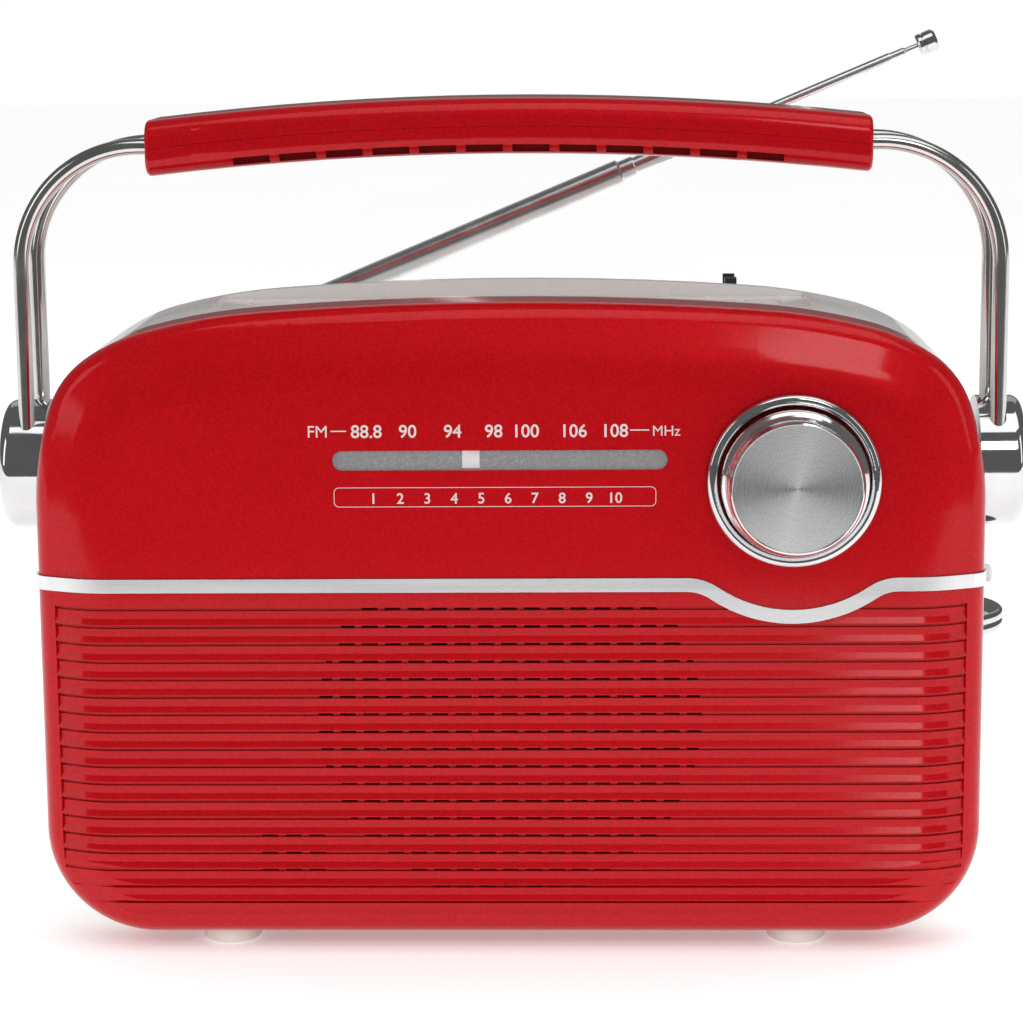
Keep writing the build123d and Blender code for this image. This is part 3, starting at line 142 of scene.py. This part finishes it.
def turned_metal(name, x, z, dark, light):
    """Disc faced on a lathe: fine rings about x, z and an anisotropic sheen across them."""
    ring_scale = 5200.0
    m, nt, s = new_material(name)
    centre = nt.nodes.new("ShaderNodeMapping")
    set_inputs(centre, {"Location": (-x, 0, -z), "Scale": (1, 0, 1)})
    nt.links.new(object_coordinates(nt), centre.inputs["Vector"])
    length = nt.nodes.new("ShaderNodeVectorMath")
    length.operation = "LENGTH"
    nt.links.new(centre.outputs["Vector"], length.inputs[0])
    stack = nt.nodes.new("ShaderNodeCombineXYZ")
    nt.links.new(length.outputs["Value"], stack.inputs["X"])
    rings = nt.nodes.new("ShaderNodeTexNoise")
    set_inputs(rings, {"Scale": ring_scale, "Detail": 3.0})
    nt.links.new(stack.outputs["Vector"], rings.inputs["Vector"])
    nt.links.new(blend_colours(nt, rings.outputs["Fac"], dark, light), s.inputs["Base Color"])
    nt.links.new(spread(nt, rings.outputs["Fac"], 0.20, 0.32), s.inputs["Roughness"])
    bump(nt, s, rings.outputs["Fac"], 0.12, 0.02)
    tangent = nt.nodes.new("ShaderNodeTangent")
    tangent.direction_type = "RADIAL"
    tangent.axis = "Y"
    nt.links.new(tangent.outputs["Tangent"], s.inputs["Tangent"])
    # The tangent runs round the disc and a highlight is stretched along it. Turning marks
    # stretch a highlight across the rings, hence the quarter turn.
    set_inputs(s, {"Metallic": 1.0, "Anisotropic": 0.85, "Anisotropic Rotation": 0.25})
    return m


def speckled(name, dark, light):
    """Dark dial backing with pale speckles."""
    m, nt, s = new_material(name)
    grain = noise(nt, 2200.0, detail=2.0)
    nt.links.new(blend_colours(nt, spread(nt, grain, 0, 1, 0.48, 0.72), dark, light),
                 s.inputs["Base Color"])
    nt.links.new(spread(nt, grain, 0.45, 0.7), s.inputs["Roughness"])
    bump(nt, s, grain, 0.2, 0.03)
    return m


def woven(name, dark, light):
    """Cloth behind the grille: two sets of threads, one across the other."""
    m, nt, s = new_material(name)
    coordinates = object_coordinates(nt)
    crossing = nt.nodes.new("ShaderNodeMath")
    crossing.operation = "MULTIPLY"
    for number, axis in enumerate(("X", "Z")):
        wave = nt.nodes.new("ShaderNodeTexWave")
        wave.bands_direction = axis
        set_inputs(wave, {"Scale": 420.0, "Distortion": 0.4})
        nt.links.new(coordinates, wave.inputs["Vector"])
        nt.links.new(wave.outputs["Fac"], crossing.inputs[number])
    threads = crossing.outputs["Value"]
    nt.links.new(blend_colours(nt, threads, dark, light), s.inputs["Base Color"])
    bump(nt, s, threads, 0.5, 0.1)
    set_inputs(s, {"Roughness": 0.9, "Sheen Weight": 0.2})
    return m


RED = metallic_paint("red_lacquer", (0.42, 0.0006, 0.003), (0.57, 0.0012, 0.007))
RED_GRIP = metallic_paint("red_grip_lacquer", (0.39, 0.0006, 0.003), (0.54, 0.0012, 0.007))
WHITE = surface("white_gloss_plastic", (0.74, 0.737, 0.718), (0.76, 0.757, 0.738), (0.22, 0.34),
                scale=25, fine=500, coat=0.35, bump_strength=0.06)
CHROME = surface("chrome_plate", (0.66, 0.66, 0.67), (0.76, 0.76, 0.77), (0.04, 0.10), 1.0,
                 scale=70, fine=1500, bump_strength=0.03)
ROD_METAL = surface("satin_chrome", (0.62, 0.61, 0.60), (0.74, 0.73, 0.72), (0.10, 0.18), 1.0,
                    scale=90, fine=1500, bump_strength=0.04)
TUBE_METAL = surface("antenna_chrome", (0.76, 0.76, 0.76), (0.88, 0.88, 0.88), (0.20, 0.28), 1.0,
                     scale=120, fine=2500, bump_strength=0.05)
TRIM = surface("brushed_trim", (0.80, 0.80, 0.81), (0.94, 0.94, 0.95), (0.22, 0.34), 1.0,
               scale=400, stretch=(0.04, 1, 1), fine=2200, bump_strength=0.10, aniso=0.4)
KNOB_SIDE = surface("knob_chrome", (0.76, 0.76, 0.77), (0.86, 0.86, 0.87), (0.06, 0.12), 1.0,
                    scale=100, fine=1800, bump_strength=0.04)
knob_low, knob_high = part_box("knob_face")
DISC = turned_metal("turned_aluminium",
                    (knob_low.x + knob_high.x) / 2, (knob_low.z + knob_high.z) / 2,
                    (0.78, 0.78, 0.79), (0.94, 0.94, 0.95))
LENS = surface("clear_acrylic", (0.92, 0.94, 0.95), (0.96, 0.98, 0.98), (0.02, 0.06), scale=40,
               fine=300, bump_strength=0.02, alpha=0.14)
DIAL = speckled("dial_backing", (0.02, 0.023, 0.03), (0.20, 0.215, 0.25))
POINTER = surface("pointer_white", (0.80, 0.80, 0.78), (0.88, 0.88, 0.86), (0.35, 0.5), fine=700)
PRINT = surface("dial_print", (0.62, 0.50, 0.50), (0.74, 0.62, 0.62), (0.4, 0.55), scale=900,
                fine=2500, bump_strength=0.05)
STEEL = surface("pressed_steel", (0.38, 0.38, 0.39), (0.52, 0.52, 0.53), (0.28, 0.45), 1.0,
                fine=1200)
SCREW = surface("zinc_screws", (0.40, 0.40, 0.41), (0.60, 0.60, 0.60), (0.25, 0.45), 1.0,
                fine=1500)
BRASS = surface("brass_turned", (0.55, 0.42, 0.20), (0.74, 0.60, 0.32), (0.2, 0.34), 1.0,
                fine=1500)
BLACK = surface("black_plastic", (0.012, 0.012, 0.013), (0.022, 0.022, 0.024), (0.4, 0.6),
                fine=1300)
NATURAL = surface("natural_nylon", (0.62, 0.60, 0.54), (0.72, 0.70, 0.64), (0.4, 0.55), fine=900)
CLOTH = woven("grille_cloth_weave", (0.004, 0.004, 0.004), (0.02, 0.018, 0.018))
PAPER = surface("cone_paper", (0.02, 0.02, 0.022), (0.05, 0.05, 0.052), (0.8, 0.95), fine=1400,
                bump_strength=0.5, bump_mm=0.1, sheen=0.1)
FOAM = surface("surround_foam", (0.015, 0.015, 0.015), (0.03, 0.03, 0.03), (0.75, 0.9), fine=1800,
               bump_strength=0.5)
FERRITE = surface("ferrite", (0.03, 0.03, 0.032), (0.07, 0.07, 0.072), (0.45, 0.65), fine=1500,
                  bump_strength=0.3)
COIL = surface("wound_wire", (0.25, 0.10, 0.03), (0.50, 0.24, 0.09), (0.35, 0.5), scale=2400,
               stretch=(1, 0.02, 0.02), fine=2600, bump_strength=0.6, bump_mm=0.1)
BOARD = surface("lacquered_board", (0.20, 0.12, 0.04), (0.32, 0.21, 0.09), (0.25, 0.45), scale=180,
                fine=1600, coat=0.4)
CAN = surface("tinned_can", (0.60, 0.60, 0.60), (0.76, 0.76, 0.76), (0.25, 0.4), 1.0, fine=1500)
SLEEVE = surface("printed_sleeve", (0.015, 0.03, 0.14), (0.03, 0.05, 0.22), (0.2, 0.35), fine=800)
CELL = surface("cell_jacket", (0.02, 0.02, 0.022), (0.05, 0.05, 0.055), (0.18, 0.3), fine=700)
FEET = surface("cream_rubber", (0.78, 0.75, 0.70), (0.86, 0.84, 0.80), (0.5, 0.7), fine=1400,
               bump_strength=0.3)

FINISH = {
    "red_shell": RED, "red_grip": RED_GRIP, "white_shell": WHITE, "trim": TRIM, "chrome": CHROME,
    "rods": ROD_METAL, "knob_skirt": KNOB_SIDE, "knob_disc": DISC, "lens": LENS,
    "dial_dark": DIAL, "pointer": POINTER, "steel": STEEL, "screws": SCREW, "brass": BRASS,
    "black_plastic": BLACK, "white_plastic": NATURAL, "cloth": CLOTH, "paper_cone": PAPER,
    "foam": FOAM, "ferrite": FERRITE, "coil": COIL, "board": BOARD, "can": CAN,
    "capacitor_sleeve": SLEEVE, "cell_skin": CELL, "feet": FEET,
}
SLOT_OF = {s["node"]: s["material_slot"] for s in frame["record"]["subparts"]}
for node_name, obj in NODES.items():
    # The antenna's tubes are in the chrome slot, but rougher and paler than its other pieces.
    is_tube = node_name == "antenna_lug" or node_name.startswith("antenna_section")
    for slot in obj.material_slots:
        slot.material = TUBE_METAL if is_tube else FINISH[SLOT_OF[node_name]]


# ---------------------------------------------------------------- printed dial
PRINT_Y = FRONT - 0.04 * MM


def add_print(name, mesh):
    mesh.materials.append(PRINT)
    out = bpy.data.objects.new(name, mesh)
    bpy.context.scene.collection.objects.link(out)
    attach(out, "cabinet")


def printed(text, x, z, height, name, bold=0.0):
    """Flat text just in front of the fascia, its middle at x and z, all in millimetres."""
    curve = bpy.data.curves.new(name, "FONT")
    curve.body = text
    curve.align_x = "CENTER"
    curve.align_y = "BOTTOM_BASELINE"
    curve.offset = bold
    curve.resolution_u = 6
    obj = bpy.data.objects.new(name, curve)
    bpy.context.scene.collection.objects.link(obj)
    bpy.context.view_layer.update()
    k = height * MM / obj.dimensions.y
    depsgraph = bpy.context.evaluated_depsgraph_get()
    mesh = bpy.data.meshes.new_from_object(obj.evaluated_get(depsgraph))
    bpy.data.objects.remove(obj)
    low = min(v.co.y for v in mesh.vertices)
    left = min(v.co.x for v in mesh.vertices)
    right = max(v.co.x for v in mesh.vertices)
    for v in mesh.vertices:
        px = (v.co.x - (left + right) / 2) * k
        pz = (v.co.y - low) * k
        v.co = (x * MM + px, PRINT_Y, z * MM - height * MM / 2 + pz)
    add_print(name, mesh)


def printed_bar(x0, x1, z0, z1, name):
    """Printed line as a thin strip between two corners, in millimetres."""
    mesh = bpy.data.meshes.new(name)
    corners = [(x * MM, PRINT_Y, z * MM) for x, z in ((x0, z0), (x1, z0), (x1, z1), (x0, z1))]
    mesh.from_pydata(corners, [], [(0, 1, 2, 3)])
    add_print(name, mesh)


def rounded_frame(x0, x1, z0, z1, radius, line, name):
    """Printed box with rounded corners, drawn as a narrow ring, in millimetres."""
    corner_points, corner_step = 7, 15
    corners = ((x1 - radius, z1 - radius, 0), (x0 + radius, z1 - radius, 90),
               (x0 + radius, z0 + radius, 180), (x1 - radius, z0 + radius, 270))
    points = []
    for grow in (0.0, -line):
        r = radius + grow
        for cx, cz, start in corners:
            for step in range(corner_points):
                a = radians(start + corner_step * step)
                points.append(((cx + r * cos(a)) * MM, PRINT_Y, (cz + r * sin(a)) * MM))
    count = len(corners) * corner_points
    faces = [(i, (i + 1) % count, count + (i + 1) % count, count + i) for i in range(count)]
    mesh = bpy.data.meshes.new(name)
    mesh.from_pydata(points, [], faces)
    add_print(name, mesh)


# Millimetres; the places were read off the photograph.
FM_ROW_Z = 136.1
DASH_LOW, DASH_HIGH = FM_ROW_Z - 0.05, FM_ROW_Z + 0.25
FM_HEIGHT = 3.3
LOG_ROW_Z = 119.2
LOG_HEIGHT = 2.7
LOG_FIRST_X = -33.5
LOG_PITCH = 6.73
BOLD = 0.012
for label, x in (("88.8", -35.0), ("90", -24.7), ("94", -13.5), ("98", -3.3), ("100", 5.0),
                 ("106", 16.9), ("108", 27.1)):
    printed(label, x, FM_ROW_Z, FM_HEIGHT, "figure_" + label.replace(".", "_"), bold=BOLD)
printed("FM", -47.2, FM_ROW_Z, 2.9, "figure_FM")
printed("MHz", 39.6, FM_ROW_Z - 0.1, 2.5, "figure_MHz")
printed_bar(-43.9, -40.0, DASH_LOW, DASH_HIGH, "dash_left")
printed_bar(30.5, 35.3, DASH_LOW, DASH_HIGH, "dash_right")
for i in range(10):
    printed(str(i + 1), LOG_FIRST_X + LOG_PITCH * i, LOG_ROW_Z, LOG_HEIGHT, "log_%d" % (i + 1),
            bold=BOLD)
rounded_frame(-43.4, 37.0, 117.0, 122.0, radius=1.3, line=0.16, name="log_frame")


# ---------------------------------------------------------------- floor, light, camera
FLOOR_GREY = 0.92
FLOOR_GLOW = 0.26
FLOOR_REACH = 6.0
FLOOR_NEAR = -0.5       # ends in front of the radio, to stay out of the fascia's reflections


def pale_floor():
    """Matt floor with a weak glow, which brings it close to the white of the world."""
    m, nt, s = new_material("pale_floor")
    grey, lighter = [(level,) * 3 for level in (FLOOR_GREY, FLOOR_GREY * 1.02)]
    drift = spread(nt, noise(nt, 3.0), 0, 1)
    nt.links.new(blend_colours(nt, drift, grey, lighter), s.inputs["Base Color"])
    set_inputs(s, {"Roughness": 0.7, "Specular IOR Level": 0.1,
                   "Emission Color": (1, 1, 1, 1), "Emission Strength": FLOOR_GLOW})
    return m


floor_mesh = bpy.data.meshes.new("floor")
floor_mesh.from_pydata([(-FLOOR_REACH, FLOOR_NEAR, 0), (FLOOR_REACH, FLOOR_NEAR, 0),
                        (FLOOR_REACH, FLOOR_REACH, 0), (-FLOOR_REACH, FLOOR_REACH, 0)], [],
                       [(0, 1, 2, 3)])
floor_mesh.materials.append(pale_floor())
floor = bpy.data.objects.new("floor", floor_mesh)
bpy.context.scene.collection.objects.link(floor)


def softbox(name, place, aim_height, width, height, watts):
    """Rectangular lamp aimed at a point above the middle of the radio's base."""
    lamp = bpy.data.lights.new(name, "AREA")
    lamp.shape = "RECTANGLE"
    lamp.size = width
    lamp.size_y = height
    lamp.energy = watts
    obj = bpy.data.objects.new(name, lamp)
    bpy.context.scene.collection.objects.link(obj)
    direction = Vector((0, 0, aim_height)) - Vector(place)
    obj.location = place
    obj.rotation_euler = direction.to_track_quat("-Z", "Y").to_euler()


softbox("box_top", (0.15, -0.25, 1.0), 0.12, 1.0, 0.55, 2.2)
softbox("box_front", (0.42, -1.20, 0.95), 0.12, 0.40, 0.35, 2)
softbox("box_left", (-1.1, -0.65, 0.60), 0.10, 0.35, 0.9, 1.5)
softbox("box_right", (1.15, -0.6, 0.55), 0.10, 0.30, 0.9, 1.1)
softbox("box_back", (0.0, 1.3, 0.9), 0.12, 1.6, 0.8, 1.2)

# The room is bright for the camera and for soft light, and dark in sharp reflections, as a
# studio is around a white sweep.
ROOM_WHITE = 1.0
ROOM_FILL = 0.82
ROOM_REFLECTED = 0.12
world = bpy.data.worlds.new("studio")
bpy.context.scene.world = world
world.use_nodes = True
tree = world.node_tree
rays = tree.nodes.new("ShaderNodeLightPath")


def by_ray(kind, chosen):
    """Gives one kind of ray the chosen strength; the first number is for all other rays."""
    node = tree.nodes.new("ShaderNodeMix")
    node.data_type = "FLOAT"
    tree.links.new(rays.outputs[kind], node.inputs[MIX_FACTOR])
    node.inputs[MIX_NUMBERS[1]].default_value = chosen
    return node


off_camera = by_ray("Is Glossy Ray", ROOM_REFLECTED)
off_camera.inputs[MIX_NUMBERS[0]].default_value = ROOM_FILL
strength = by_ray("Is Camera Ray", ROOM_WHITE)
tree.links.new(off_camera.outputs[MIX_NUMBER_OUT], strength.inputs[MIX_NUMBERS[0]])
background = tree.nodes["Background"]
background.inputs["Color"].default_value = (1, 1, 1, 1)
tree.links.new(strength.outputs[MIX_NUMBER_OUT], background.inputs["Strength"])

# Fitted to the radio's outline in the photograph.
YAW, PITCH, ROLL = radians(-1.664), radians(10.054), radians(-0.499)
CAMERA_PLACE = (0.02181, -0.75807, 0.24304)
FOCAL_LENGTH = 102.84
SENSOR_WIDTH = 36.0
ahead = Vector((sin(YAW) * cos(PITCH), cos(YAW) * cos(PITCH), -sin(PITCH)))
across = Vector((cos(YAW), -sin(YAW), 0))
upward = across.cross(ahead)
right = across * cos(ROLL) + upward * sin(ROLL)
top = -across * sin(ROLL) + upward * cos(ROLL)
camera_data = bpy.data.cameras.new("camera")
camera_data.lens = FOCAL_LENGTH
camera_data.sensor_width = SENSOR_WIDTH
camera_data.clip_start = 0.01
camera = bpy.data.objects.new("camera", camera_data)
bpy.context.scene.collection.objects.link(camera)
turn = Matrix((right, top, -ahead)).transposed().to_4x4()
camera.matrix_world = Matrix.Translation(CAMERA_PLACE) @ turn
bpy.context.scene.camera = camera
bpy.context.scene.view_settings.view_transform = "Standard"
